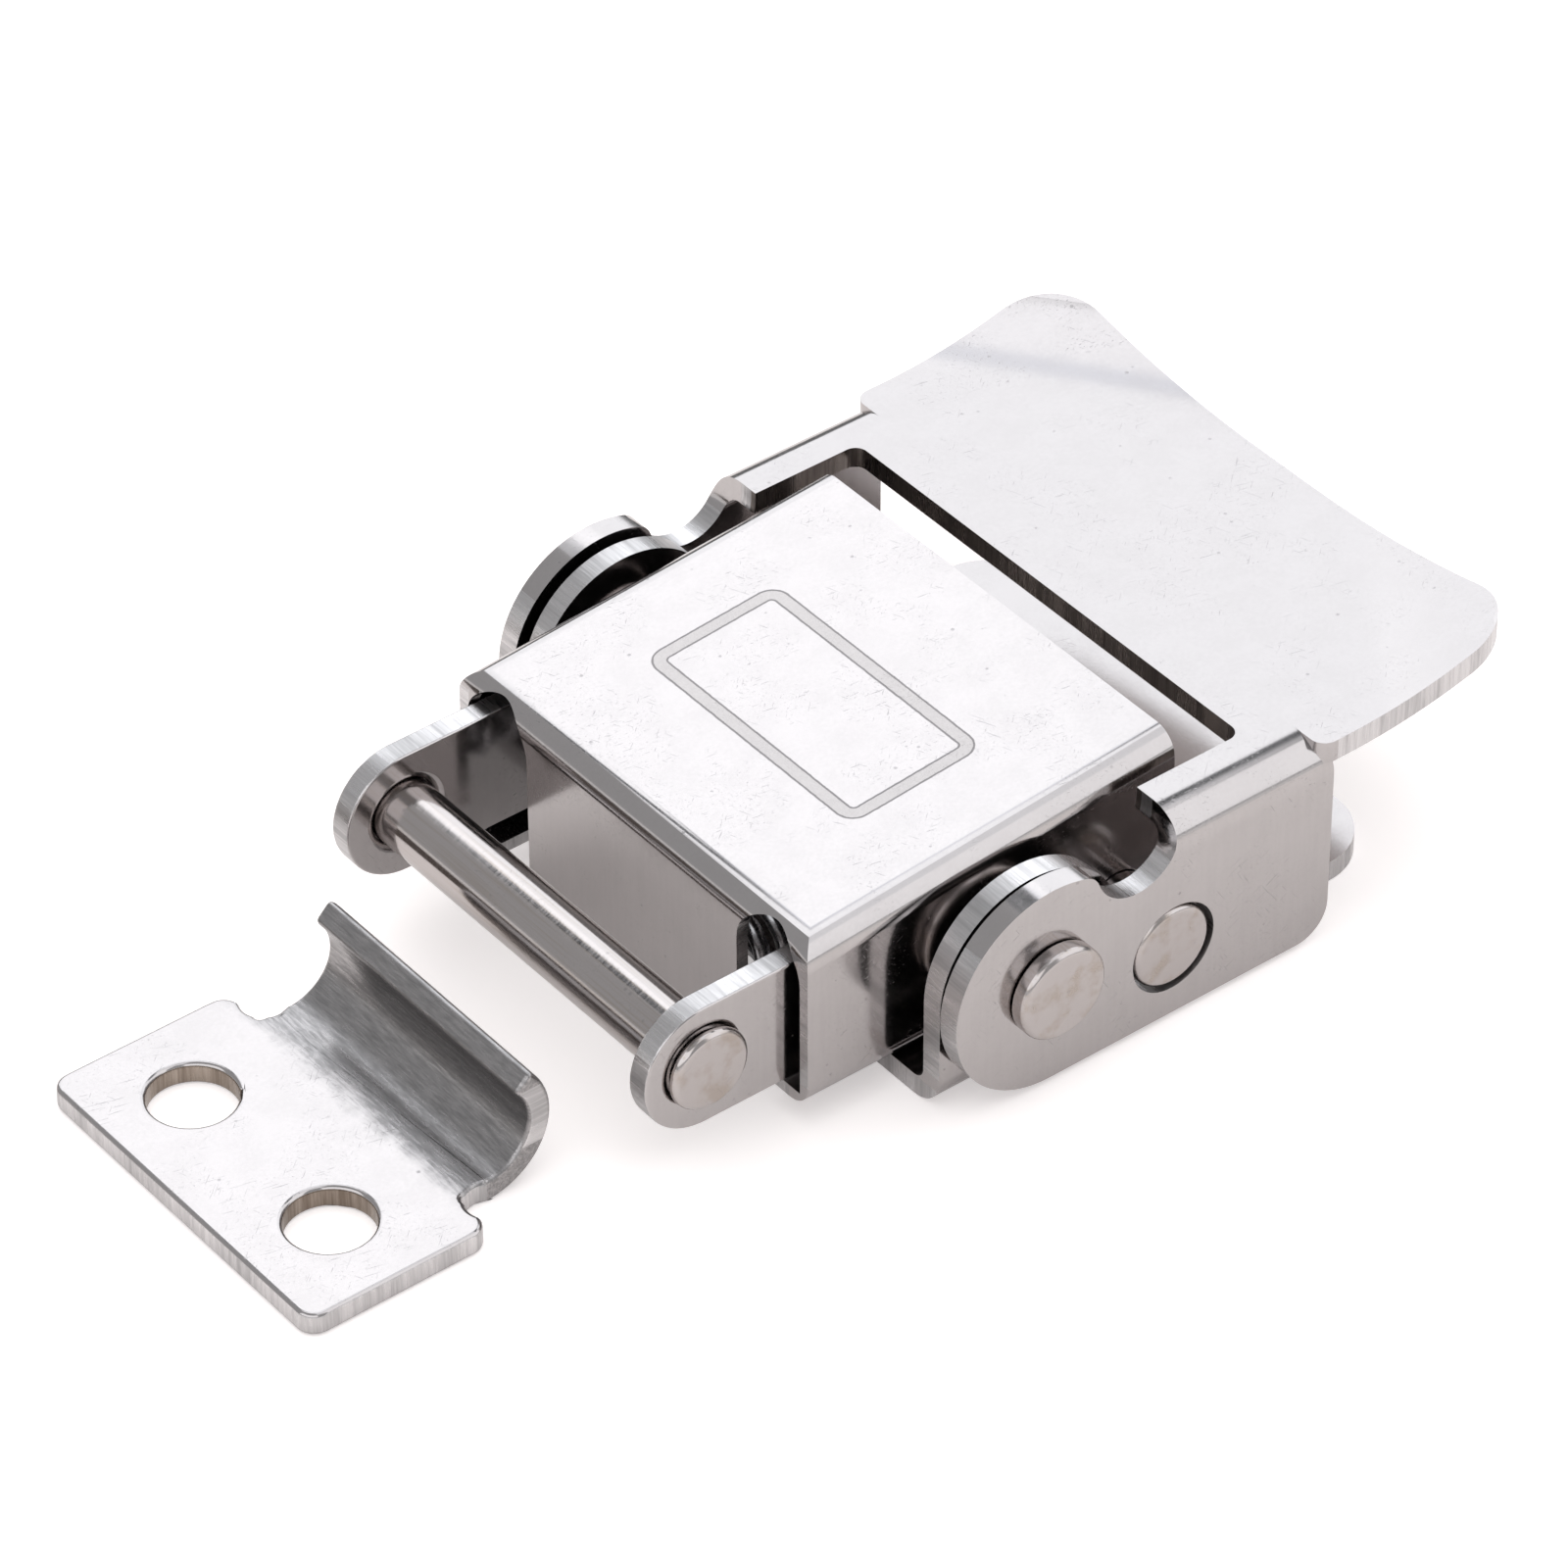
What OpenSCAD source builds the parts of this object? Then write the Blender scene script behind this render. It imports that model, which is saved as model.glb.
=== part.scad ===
// Spring draw latch with a loose keeper, folded from stainless steel sheet.
// X runs from the keeper to the handle, Y across the latch, Z up from the mounting face.
// The origin is the centre of the four base holes, on the mounting face.

/* [Base plate] */
// Thickness of the base sheet
base_t = 1.4; // [1.0:0.1:1.6]
// Height of the lever pivot above the mounting face
pivot_h = 7.2; // [7:0.1:9]
// Step in from the rim of a lever ear to the rim of the base ear
ear_step = 0.4; // [0.3:0.1:1.2]
// Outside radius of the bend between floor and ear
base_bend_r = 2.2; // [1.8:0.1:3]
// From the pivot back to the end of the floor
floor_rear = 27.8; // [25:0.2:32]
// Step in from each ear to the side of the floor behind it
floor_step = 1.6; // [1.4:0.1:3]
// Corner radius at the end of the floor
floor_corner_r = 4; // [1:0.5:8]

/* [Mounting holes] */
// Diameter of each screw hole
screw_d = 5.2; // [4:0.1:5.5]
// Spacing of the base holes along the latch
base_holes_dx = 21; // [16:0.5:24]
// Spacing of the base holes across the latch
base_holes_dy = 13; // [8:0.2:20]
// From the front holes back to the pivot axis
base_holes_front = 1.5; // [0:0.1:3]

/* [Lever] */
// Thickness of the lever sheet
lever_t = 1.4; // [1.0:0.1:1.6]
// Gap between a base ear and the lever flange beside it
side_gap = 0.5; // [0.2:0.1:1]
// Gap between the mounting face and the lever flanges
flange_gap = 0.4; // [0.2:0.1:0.8]
// Step down from the lever top to the top of the lever ears
ear_drop = 0.2; // [0:0.1:0.6]
// Outside radius of the bend between top and flange
lever_bend_r = 2.4; // [1.8:0.1:3]
// Width of the strip on each side of the window
strip_w = 3.8; // [3.2:0.1:4.5]
// Gap between the open end of the housing and the rear edge of the window
window_gap = 3.8; // [3.7:0.1:5]
// Corner radius of the window
window_corner_r = 0.8; // [0.4:0.1:2]
// From the rim of the lever ear forward to the centre of the flange notch
notch_in = 0.7; // [0.5:0.1:1.2]
// Depth of the notch centre below the lever top
notch_drop = 0.6; // [0.2:0.1:1]
// Radius of the flange notch
notch_r = 3; // [2.4:0.1:3.1]
// Rounding where the ear runs into the notch
notch_round_r = 1.5; // [0.5:0.1:1.8]
// From the window back to the end of the flanges
window_rim = 3.7; // [3:0.1:6]
// Radius of the lower rear flange corner
flange_corner_r = 2.2; // [1:0.1:4]
// From the end of the flanges back to the end of the handle
handle_reach = 14.4; // [12:0.2:20]
// Corner radius of the handle
handle_corner_r = 4.2; // [2:0.2:8]
// Rounding where the flange bend runs out into the handle
runout_r = 1; // [0.5:0.1:2.2]
// Radius to which the handle corners curl up
curl_r = 24; // [14:1:50]
// From the end of the flanges back to where the curl leaves the side edge
curl_side = 0.8; // [0.6:0.2:5]
// From the centre line to where the curl leaves the rear edge
curl_rear_y = 2.6; // [1:0.2:12]

/* [Pivot rivets] */
// Diameter of the rivet shank
rivet_d = 5; // [4:0.1:5.6]
// Diameter of the outer rivet head
rivet_head_d = 6; // [5.8:0.1:7]
// Height of the outer rivet head
rivet_head_h = 1.1; // [0.6:0.1:2]
// Diameter of the inner rivet head
rivet_inner_d = 8; // [6:0.2:9]
// Height of the inner rivet head
rivet_inner_h = 0.8; // [0.5:0.1:1.2]
// Gap between an inner rivet head and the housing
rivet_room = 0.9; // [0.4:0.1:1.5]

/* [Toggle pin] */
// Gap between the rim of the base ears and the toggle pin
toggle_room = 0.35; // [0.25:0.05:1]
// Depth of the toggle pin below the pivot
toggle_drop = 2; // [1.5:0.1:2.3]
// Diameter of the toggle pin between the flanges
toggle_d = 4.2; // [3.6:0.1:4.6]
// Diameter of the upset ends of the toggle pin
toggle_head_d = 5.4; // [5:0.1:5.8]
// Gap round the pin end in the lever flange
toggle_end_gap = 0.25; // [0.1:0.05:0.4]

/* [Draw housing] */
// Thickness of the housing sheet
housing_t = 0.8; // [0.6:0.1:1]
// Width over the housing walls
housing_w = 31.8; // [31:0.1:32]
// From the pivot forward to the front wall
housing_front = 13.2; // [12:0.1:14]
// From the pivot back to the open end of the housing
housing_rear = 12.9; // [12.5:0.1:13.6]
// Depth of the housing top below the lever top, at the front wall
housing_drop = 1.1; // [1.1:0.1:2]
// Slope of the housing top, in degrees
housing_slope = 4.6; // [0:0.1:5]
// Gap between the base floor and the housing
housing_gap = 0.3; // [0.2:0.1:0.6]
// Outside radius of the housing bends
housing_bend_r = 1.6; // [1.2:0.1:2]
// Width of the lips folded in under the walls
lip_w = 3.6; // [2.8:0.1:4.5]
// Gap between the inside of each arm and the front wall
slot_side = 3.4; // [2.6:0.1:4.4]
// Gap between the arms and the top of their slots
slot_over = 1.4; // [1.2:0.1:1.6]
// How far the arm slots reach back from the front face
slot_depth = 1.25; // [1:0.05:1.35]

/* [Draw frame] */
// Thickness of the draw frame sheet
arm_t = 1.5; // [1.2:0.1:1.6]
// Gap between each arm and the housing wall
arm_gap = 0.6; // [0.3:0.1:0.7]
// Gap between the front wall and the draw bar
bar_room = 3.9; // [3.4:0.1:5]
// Height of the draw bar above the lever pivot
bar_rise = 0.2; // [-0.1:0.1:0.4]
// Radius of the arm noses about the draw bar
nose_r = 4.1; // [3.6:0.1:4.3]
// Outside radius of the bends between web and arms
web_bend_r = 2.5; // [2:0.1:4]
// Gap between the web and the toggle pin
web_gap = 0.2; // [0.1:0.05:0.5]

/* [Draw bar] */
// Diameter of the draw bar
bar_d = 4.2; // [3.6:0.1:4.6]
// Diameter of the upset ends of the draw bar
bar_head_d = 5.2; // [4.8:0.1:6]
// Height of the upset ends of the draw bar
bar_head_h = 0.6; // [0.4:0.1:1]
// Rim radius of the countersink on the outside of each arm
arm_sink_r = 3.05; // [2.7:0.05:3.3]
// Rim radius of the countersink on the inside of each arm
arm_inner_sink_r = 2.55; // [2.4:0.05:2.8]

/* [Springs] */
// Outside diameter of each spring
spring_d = 6.4; // [5:0.2:7]
// Diameter of the spring wire
wire_d = 1; // [0.7:0.1:1.2]
// Number of turns in each spring
spring_turns = 9; // [6:1:10]
// Gap between each spring and the arm beside it
spring_side = 2.8; // [1:0.2:4]

/* [Keeper] */
// Thickness of the keeper sheet
keeper_t = 1.5; // [1.2:0.1:2]
// Step out from the hook to each side of the keeper plate
keeper_step = 3; // [2.6:0.1:5]
// Length of the keeper plate
keeper_plate = 12.2; // [11:0.2:16]
// Corner radius of the keeper plate
keeper_corner_r = 1.2; // [0.6:0.1:3]
// Gap between each side of the hook and the arm that passes it
hook_side = 3.6; // [2:0.1:5]
// Gap between the draw bar and the inside of the hook
hook_room = 0.9; // [0.4:0.1:1.4]
// Angle to which the hook curls past upright
hook_curl = 45; // [30:1:60]
// Gap between the draw bar and the keeper, with the latch undone
keeper_gap = 4.6; // [4:0.1:10]
// Length of the neck between plate and hook curl
neck = 1.9; // [1.6:0.1:4]
// Radius of the relief beside the neck
relief_r = 1.2; // [0.6:0.1:1.4]
// Spacing of the two keeper holes
keeper_holes_dy = 13; // [10:0.2:16]
// From the back edge of the plate to the keeper holes
keeper_holes_x = 5.65; // [4.5:0.05:7]

/* [Hidden] */
// Radial clearance of a pin that turns in its hole
run = 0.08;
// Gap between a rivet head and the sheet that turns under it
head_gap = 0.08;
// Radial clearance of a shank that is riveted tight
tight = 0.01;
// Depth of the edge breaks and countersinks
edge = 0.25;
// The arm slots are cut this far into the walls beside them
slot_ease = 0.1;
// Cutters reach this far past the sheet they cut
over = 1;
// A length longer than the whole latch
far = 80;
$fn = 72;

steel = [0.80, 0.79, 0.78];
pin_steel = [0.74, 0.71, 0.67];
spring_steel = [0.62, 0.62, 0.64];

// Heights and lengths, from the pivot outwards
pivot_x = base_holes_front - base_holes_dx / 2;
lever_ear_r = pivot_h - flange_gap;
lever_h = pivot_h + lever_ear_r + ear_drop;
flange_low = flange_gap;
base_ear_r = lever_ear_r - ear_step;
toggle_x = base_ear_r + toggle_d / 2 + toggle_room;
toggle_z = pivot_h - toggle_drop;
notch_x = lever_ear_r - notch_in;
notch_z = lever_h - notch_drop;
window_rear = housing_rear + window_gap;
flange_rear = window_rear + window_rim;
handle_rear = flange_rear + handle_reach;
curl_side_x = flange_rear + curl_side;
housing_low = base_t + housing_gap;
housing_front_h = lever_h - housing_drop;
bar_reach = housing_front + bar_room + bar_d / 2;
bar_h = pivot_h + bar_rise;
web_rear = toggle_x - toggle_d / 2 - web_gap;
web_front = web_rear - arm_t;
spring_from = housing_t - housing_front;
spring_len = web_front - spring_from;
hook_r = bar_d / 2 + hook_room;
hook_out_r = hook_r + keeper_t;
hook_reach = bar_reach + bar_d / 2 + keeper_gap + hook_out_r;
// Widths, from the housing outwards and inwards
base_w = housing_w + 2 * (rivet_room + rivet_inner_h + base_t);
floor_w = base_w - 2 * floor_step;
lever_w = base_w + 2 * (side_gap + lever_t);
window_w = lever_w - 2 * strip_w;
arm_w = housing_w - 2 * (housing_t + arm_gap);
arm_inner_w = arm_w - 2 * arm_t;
front_wall_w = arm_inner_w - 2 * slot_side;
spring_y = arm_inner_w / 2 - spring_side - spring_d / 2;
hook_w = arm_inner_w - 2 * hook_side;
keeper_w = hook_w + 2 * keeper_step;
plate_front = -hook_reach - neck;
plate_rear = plate_front - keeper_plate;

// Puts a drawing of the side view upright, with its thickness along Y and centred
module side_sheet(thickness) {
    rotate([90, 0, 0])
        linear_extrude(height = thickness, center = true)
            children();
}

// Puts a drawing of the cross-section upright and sweeps it along X between two places
module cross_sweep(from_x, to_x) {
    translate([from_x, 0, 0])
        rotate([90, 0, 90])
            linear_extrude(height = to_x - from_x)
                children();
}

// Rectangle between two corners
module area(low, high) {
    translate(low)
        square([high[0] - low[0], high[1] - low[1]]);
}

// Rectangle with its own radius at each corner: low left, low right, high right, high left
module round_area(low, high, radii) {
    corners = [low, [high[0], low[1]], high, [low[0], high[1]]];
    inward = [[1, 1], [-1, 1], [-1, -1], [1, -1]];
    difference() {
        area(low, high);
        for (i = [0 : 3])
            if (radii[i] > 0)
                difference() {
                    translate(corners[i])
                        square(2 * radii[i], center = true);
                    translate([corners[i][0] + inward[i][0] * radii[i], corners[i][1] + inward[i][1] * radii[i]])
                        circle(r = radii[i]);
                    translate([corners[i][0] + inward[i][0] * radii[i] * 2, corners[i][1]])
                        square(2 * radii[i] * [1, 2], center = true);
                    translate([corners[i][0], corners[i][1] + inward[i][1] * radii[i] * 2])
                        square(2 * radii[i] * [2, 1], center = true);
                }
    }
}

// Cylinder along Y through the whole latch, centred
module cross_bore(r, length = far) {
    rotate([90, 0, 0])
        cylinder(r = r, h = length, center = true);
}

// The meeting point of two circles that lies on the left of the line from a to b
function meet(a, ra, b, rb) =
    let (
        d = norm(b - a),
        along = (ra * ra - rb * rb + d * d) / (2 * d),
        aside = sqrt(ra * ra - along * along),
        u = (b - a) / d
    )
    a + u * along + [-u[1], u[0]] * aside;

module base_plate() {
    color(steel)
        translate([pivot_x, 0, 0])
            difference() {
                union() {
                    intersection() {
                        cross_sweep(-base_ear_r, base_ear_r)
                            difference() {
                                round_area([-base_w / 2, 0], [base_w / 2, far],
                                           [base_bend_r, base_bend_r, 0, 0]);
                                round_area([-base_w / 2 + base_t, base_t], [base_w / 2 - base_t, far + over],
                                           [base_bend_r - base_t, base_bend_r - base_t, 0, 0]);
                            }
                        side_sheet(far) {
                            translate([0, pivot_h])
                                circle(r = base_ear_r);
                            area([-base_ear_r, 0], [base_ear_r, pivot_h]);
                        }
                    }
                    linear_extrude(height = base_t)
                        round_area([0, -floor_w / 2], [floor_rear, floor_w / 2],
                                   [0, floor_corner_r, floor_corner_r, 0]);
                }
                translate([0, 0, pivot_h])
                    cross_bore(rivet_d / 2 + tight);
                for (x = [-base_holes_front, base_holes_dx - base_holes_front])
                    for (y = [-base_holes_dy / 2, base_holes_dy / 2])
                        translate([x, y, -over])
                            cylinder(d = screw_d, h = base_t + 2 * over);
            }
}

// Side view of the lever: ear, notch and flange, before the bend along its top
module lever_side() {
    pivot = [0, pivot_h];
    notch = [notch_x, notch_z];
    corner = meet(pivot, lever_ear_r - notch_round_r, notch, notch_r + notch_round_r);
    on_ear = corner + 2 * notch_round_r * (corner - pivot) / norm(corner - pivot);
    on_notch = corner + 2 * notch_round_r * (notch - corner) / norm(notch - corner);
    difference() {
        union() {
            translate(pivot)
                circle(r = lever_ear_r);
            area([0, flange_low], [notch_x, notch_z - notch_r]);
            round_area([notch_x - over, flange_low], [flange_rear, lever_h],
                       [0, flange_corner_r, 0, 0]);
        }
        translate(notch)
            circle(r = notch_r);
        area([notch_x - notch_r, notch_z], [notch_x + notch_r, lever_h + over]);
        difference() {
            polygon([corner, on_ear, on_ear + on_notch - corner, on_notch]);
            translate(corner)
                circle(r = notch_round_r);
        }
    }
}

// One rear corner of the handle on the +Y side, curled up about a slanting line
module handle_curl() {
    side_point = [curl_side_x, lever_w / 2];
    rear_point = [handle_rear, curl_rear_y];
    slant = atan2(side_point[0] - rear_point[0], rear_point[1] - side_point[1]) + 180;
    translate([side_point[0], side_point[1], lever_h])
        rotate([0, 0, slant])
            side_sheet(far) {
                difference() {
                    area([0, -lever_t], [curl_r, curl_r]);
                    translate([0, curl_r])
                        circle(r = curl_r, $fn = 3 * $fn);
                    difference() {
                        area([-over, -lever_t - over], [curl_r + over, curl_r + over]);
                        translate([0, curl_r])
                            circle(r = curl_r + lever_t, $fn = 3 * $fn);
                    }
                }
                area([-over, -lever_t], [0, 0]);
            }
}

// All that lies beyond the line where the handle corner starts to curl, on the +Y side
module beyond_curl() {
    side_point = [curl_side_x, lever_w / 2];
    rear_point = [handle_rear, curl_rear_y];
    slant = atan2(side_point[0] - rear_point[0], rear_point[1] - side_point[1]) + 180;
    translate([side_point[0], side_point[1], 0])
        rotate([0, 0, slant])
            translate([0, -far / 2, 0])
                cube([far, far, far]);
}

module handle_outline() {
    round_area([flange_rear - runout_r, -lever_w / 2], [handle_rear, lever_w / 2],
               [runout_r, handle_corner_r, handle_corner_r, runout_r]);
}

module lever() {
    bend_low = lever_h - far;
    color(steel)
        translate([pivot_x, 0, 0])
            difference() {
                union() {
                    intersection() {
                        side_sheet(lever_w)
                            lever_side();
                        cross_sweep(notch_x - over, flange_rear)
                            difference() {
                                round_area([-lever_w / 2, bend_low], [lever_w / 2, lever_h],
                                           [0, 0, lever_bend_r, lever_bend_r]);
                                round_area([-lever_w / 2 + lever_t, bend_low - over],
                                           [lever_w / 2 - lever_t, lever_h - lever_t],
                                           [0, 0, lever_bend_r - lever_t, lever_bend_r - lever_t]);
                            }
                    }
                    for (side = [-1, 1])
                        translate([0, side * (lever_w - lever_t) / 2, 0])
                            side_sheet(lever_t)
                                intersection() {
                                    lever_side();
                                    area([-far, 0], [notch_x, far]);
                                }
                    difference() {
                        translate([0, 0, lever_h - lever_t])
                            linear_extrude(height = lever_t)
                                handle_outline();
                        beyond_curl();
                        mirror([0, 1, 0])
                            beyond_curl();
                    }
                    for (side = [0, 1])
                        mirror([0, side, 0])
                            intersection() {
                                handle_curl();
                                linear_extrude(height = far)
                                    handle_outline();
                            }
                }
                translate([0, 0, lever_h - lever_t - over])
                    linear_extrude(height = lever_t + 2 * over)
                        round_area([-far, -window_w / 2], [window_rear, window_w / 2],
                                   [0, window_corner_r, window_corner_r, 0]);
                translate([0, 0, pivot_h])
                    cross_bore(rivet_d / 2 + run);
                translate([toggle_x, 0, toggle_z])
                    cross_bore(toggle_head_d / 2 + toggle_end_gap);
            }
}

// Rivet on the +Y side: shank through ear and flange, a head on each side
module pivot_rivet() {
    ear_in = base_w / 2 - base_t;
    flange_out = lever_w / 2;
    head_from = flange_out + head_gap;
    head_to = head_from + rivet_head_h;
    color(pin_steel)
        translate([pivot_x, 0, pivot_h])
            rotate([-90, 0, 0])
                rotate_extrude()
                    polygon([
                        [0, ear_in - rivet_inner_h],
                        [rivet_inner_d / 2 - edge, ear_in - rivet_inner_h],
                        [rivet_inner_d / 2, ear_in - rivet_inner_h + edge],
                        [rivet_inner_d / 2, ear_in],
                        [rivet_d / 2, ear_in],
                        [rivet_d / 2, head_from],
                        [rivet_head_d / 2, head_from],
                        [rivet_head_d / 2, head_to - edge],
                        [rivet_head_d / 2 - edge, head_to],
                        [0, head_to]
                    ]);
}

module toggle_pin() {
    end = lever_w / 2;
    step = base_w / 2 + side_gap / 2;
    color(pin_steel)
        translate([pivot_x + toggle_x, 0, toggle_z])
            rotate([-90, 0, 0])
                rotate_extrude()
                    polygon([
                        [0, -end],
                        [toggle_head_d / 2 - edge, -end],
                        [toggle_head_d / 2, -end + edge],
                        [toggle_head_d / 2, -step],
                        [toggle_d / 2, -step],
                        [toggle_d / 2, step],
                        [toggle_head_d / 2, step],
                        [toggle_head_d / 2, end - edge],
                        [toggle_head_d / 2 - edge, end],
                        [0, end]
                    ]);
}

// The housing as a solid block: inset 0 gives its outside, inset housing_t its hollow
module housing_block(inset, front, rear) {
    half = housing_w / 2 - inset;
    bend = housing_bend_r - inset;
    top_at = function (x) housing_front_h + (x + housing_front) * tan(housing_slope) - inset / cos(housing_slope);
    round_x = front + bend;
    round_z = top_at(round_x) - bend / cos(housing_slope);
    intersection() {
        translate([0, 0, top_at(0)])
            rotate([0, -housing_slope, 0])
                cross_sweep(-far, far)
                    round_area([-half, -far], [half, 0], [0, 0, bend, bend]);
        cross_sweep(front, rear)
            round_area([-half, housing_low + inset], [half, far], [bend, bend, 0, 0]);
        side_sheet(far)
            difference() {
                area([front, 0], [rear, far]);
                difference() {
                    area([front - over, round_z], [round_x - bend * sin(housing_slope), far]);
                    translate([round_x, round_z])
                        circle(r = bend);
                }
            }
    }
}

module draw_housing() {
    slot_r = (housing_w / 2 - housing_t + slot_ease - front_wall_w / 2) / 2;
    slot_y = front_wall_w / 2 + slot_r;
    slot_z = bar_h + nose_r + slot_over - slot_r;
    color(steel)
        translate([pivot_x, 0, 0])
            difference() {
                housing_block(0, -housing_front, housing_rear);
                housing_block(housing_t, housing_t - housing_front, housing_rear + over);
                cross_sweep(-housing_front - over, housing_rear + over)
                    area([lip_w - housing_w / 2, 0], [housing_w / 2 - lip_w, housing_low + housing_t]);
                for (side = [-1, 1])
                    cross_sweep(-housing_front - over, -housing_front + slot_depth) {
                        translate([side * slot_y, slot_z])
                            circle(r = slot_r);
                        translate([side * slot_y, (slot_z + housing_low + housing_t) / 2])
                            square([2 * slot_r, slot_z - housing_low - housing_t], center = true);
                    }
                translate([toggle_x, 0, toggle_z])
                    cross_bore(toggle_d / 2 + run);
            }
}

module draw_frame() {
    color(steel)
        translate([pivot_x, 0, 0])
            difference() {
                intersection() {
                    linear_extrude(height = far)
                        difference() {
                            round_area([-far, -arm_w / 2], [web_rear, arm_w / 2],
                                       [0, web_bend_r, web_bend_r, 0]);
                            round_area([-far - over, arm_t - arm_w / 2], [web_front, arm_w / 2 - arm_t],
                                       [0, web_bend_r - arm_t, web_bend_r - arm_t, 0]);
                        }
                    side_sheet(far) {
                        translate([-bar_reach, bar_h])
                            circle(r = nose_r);
                        area([-bar_reach, bar_h - nose_r], [web_rear, bar_h + nose_r]);
                    }
                }
                translate([-bar_reach, 0, bar_h]) {
                    cross_bore(bar_d / 2 + run);
                    for (side = [-90, 90])
                        rotate([side, 0, 0]) {
                            translate([0, 0, arm_w / 2 - edge])
                                cylinder(r1 = bar_d / 2 + run, r2 = arm_sink_r + arm_sink_r - bar_d / 2 - run,
                                         h = 2 * edge);
                            translate([0, 0, arm_w / 2 - arm_t - edge])
                                cylinder(r1 = arm_inner_sink_r + arm_inner_sink_r - bar_d / 2 - run,
                                         r2 = bar_d / 2 + run, h = 2 * edge);
                        }
                }
            }
}

module draw_bar() {
    head_from = arm_w / 2 + head_gap;
    head_to = head_from + bar_head_h;
    color(pin_steel)
        translate([pivot_x - bar_reach, 0, bar_h])
            rotate([-90, 0, 0])
                rotate_extrude()
                    polygon([
                        [0, -head_to],
                        [bar_head_d / 2 - edge, -head_to],
                        [bar_head_d / 2, -head_to + edge],
                        [bar_head_d / 2, -head_from],
                        [bar_d / 2, -head_from],
                        [bar_d / 2, head_from],
                        [bar_head_d / 2, head_from],
                        [bar_head_d / 2, head_to - edge],
                        [bar_head_d / 2 - edge, head_to],
                        [0, head_to]
                    ]);
}

// How far along its axis the wire of a spring has come after so many turns
function spring_run(turn) =
    let (
        dead = wire_d * 1.04,
        open = (spring_len - wire_d - 2 * dead) / (spring_turns - 2)
    )
    turn < 1 ? turn * dead
    : turn > spring_turns - 1 ? dead + (spring_turns - 2) * open + (turn - spring_turns + 1) * dead
    : dead + (turn - 1) * open;

// A compression spring along X between the front wall and the web, with closed end turns
module spring(side) {
    steps = 16;
    sides = 8;
    count = spring_turns * steps;
    coil_r = (spring_d - wire_d) / 2;
    points = [
        for (i = [0 : count])
            let (turn = i / steps, a = 360 * turn)
            for (j = [0 : sides - 1])
                let (b = 360 * j / sides, r = coil_r + wire_d / 2 * cos(b))
                [wire_d / 2 + spring_run(turn) + wire_d / 2 * sin(b), r * cos(a), r * sin(a)]
    ];
    skin = [
        for (i = [0 : count - 1])
            for (j = [0 : sides - 1])
                let (k = (j + 1) % sides, p = i * sides, q = p + sides)
                for (face = [[p + j, p + k, q + k], [p + j, q + k, q + j]])
                    face
    ];
    ends = [
        [for (j = [0 : sides - 1]) sides - 1 - j],
        [for (j = [0 : sides - 1]) count * sides + j]
    ];
    color(spring_steel)
        translate([pivot_x + spring_from, side * spring_y, bar_h])
            polyhedron(points = points, faces = concat(skin, ends), convexity = 10);
}

module keeper() {
    curl_z = hook_out_r;
    color(steel)
        translate([pivot_x, 0, 0])
            difference() {
                union() {
                    linear_extrude(height = keeper_t)
                        difference() {
                            union() {
                                round_area([plate_rear, -keeper_w / 2], [plate_front, keeper_w / 2],
                                           keeper_corner_r * [1, 1, 1, 1]);
                                area([plate_front - over, -hook_w / 2], [-hook_reach, hook_w / 2]);
                            }
                            for (side = [-1, 1])
                                translate([plate_front + relief_r, side * (hook_w / 2 + relief_r)])
                                    circle(r = relief_r * 1.15);
                        }
                    translate([-hook_reach, 0, curl_z])
                        side_sheet(hook_w)
                            intersection() {
                                difference() {
                                    circle(r = hook_out_r);
                                    circle(r = hook_r);
                                }
                                polygon([
                                    [0, 0],
                                    [0, -2 * hook_out_r],
                                    [2 * hook_out_r, -2 * hook_out_r],
                                    [2 * hook_out_r, 0],
                                    2 * hook_out_r * [cos(hook_curl), sin(hook_curl)]
                                ]);
                            }
                }
                for (y = [-keeper_holes_dy / 2, keeper_holes_dy / 2])
                    translate([plate_rear + keeper_holes_x, y, -over])
                        cylinder(d = screw_d, h = keeper_t + 2 * over);
            }
}

base_plate();
lever();
mirror([0, 1, 0]) pivot_rivet();  // pivot_rivet_near
pivot_rivet();  // pivot_rivet_far
toggle_pin();
draw_housing();
draw_frame();
draw_bar();
spring(-1);  // spring_near
spring(1);  // spring_far
keeper();
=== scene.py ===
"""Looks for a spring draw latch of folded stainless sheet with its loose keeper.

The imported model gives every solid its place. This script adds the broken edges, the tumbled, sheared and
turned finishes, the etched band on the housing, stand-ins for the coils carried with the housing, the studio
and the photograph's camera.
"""
import math

import bpy
import numpy as np
from mathutils import Matrix, Vector


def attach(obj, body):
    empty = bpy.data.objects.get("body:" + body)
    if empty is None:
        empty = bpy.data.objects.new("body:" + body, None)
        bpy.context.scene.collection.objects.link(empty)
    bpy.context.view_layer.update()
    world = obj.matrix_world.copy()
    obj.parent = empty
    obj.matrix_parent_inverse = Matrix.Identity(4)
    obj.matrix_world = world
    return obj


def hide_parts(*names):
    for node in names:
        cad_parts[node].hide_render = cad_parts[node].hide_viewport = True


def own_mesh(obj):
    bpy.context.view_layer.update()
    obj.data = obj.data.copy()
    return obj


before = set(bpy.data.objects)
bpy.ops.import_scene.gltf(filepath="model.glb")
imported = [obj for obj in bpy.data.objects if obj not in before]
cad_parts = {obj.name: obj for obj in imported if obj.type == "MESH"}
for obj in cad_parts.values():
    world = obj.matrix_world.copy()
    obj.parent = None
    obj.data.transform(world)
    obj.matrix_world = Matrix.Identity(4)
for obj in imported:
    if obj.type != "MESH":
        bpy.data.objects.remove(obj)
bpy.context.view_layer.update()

MM = 0.001
STEEL = (0.478, 0.452, 0.448, 1)
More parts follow.
